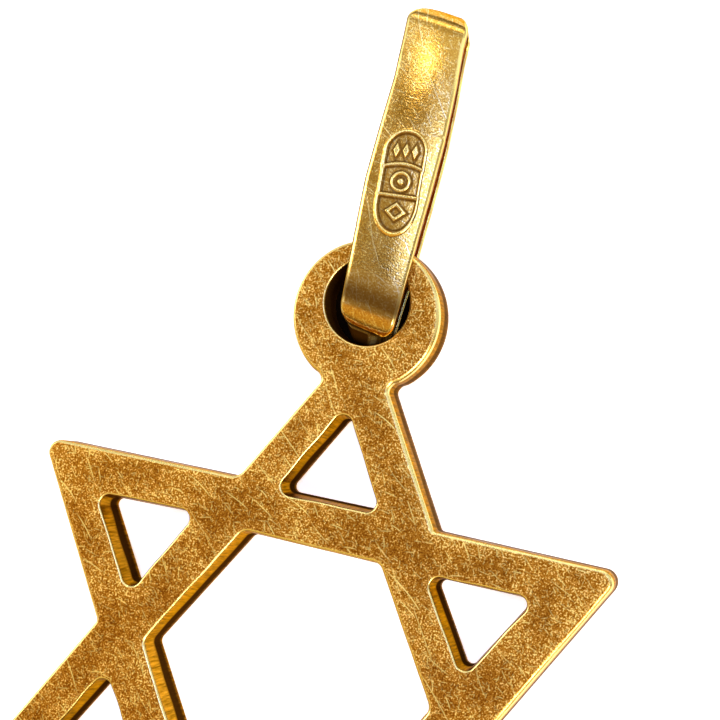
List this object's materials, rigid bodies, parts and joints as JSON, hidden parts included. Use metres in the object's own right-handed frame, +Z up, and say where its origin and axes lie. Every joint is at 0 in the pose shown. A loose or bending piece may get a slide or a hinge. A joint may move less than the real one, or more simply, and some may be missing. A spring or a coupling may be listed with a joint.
{
  "type": "open six-pointed star pendant",
  "caption": "Flat open six-pointed star cut from thick gold plate, with a round eye on its top point and a long flat strip bail for a chain",
  "frame": {"origin": "middle of the footprint, on the surface the pendant lies on", "axes": "+Z up through the pendant's face, +Y from the lowest point of the star towards the bail, +X to the viewer's right; the pendant lies face up on the rear leg of its bail and its lowest point"},
  "size_m": [0.0194, 0.0332, 0.0026],
  "materials": {
    "plate_gold": "18 karat yellow gold, worn satin face with fine scratches and polished edges",
    "bail_gold": "18 karat yellow gold, worn polish with fine scratches"
  },
  "bodies": {
    "root": {"star_plate": "plate_gold", "bail": "bail_gold"}
  },
  "joints": []
}
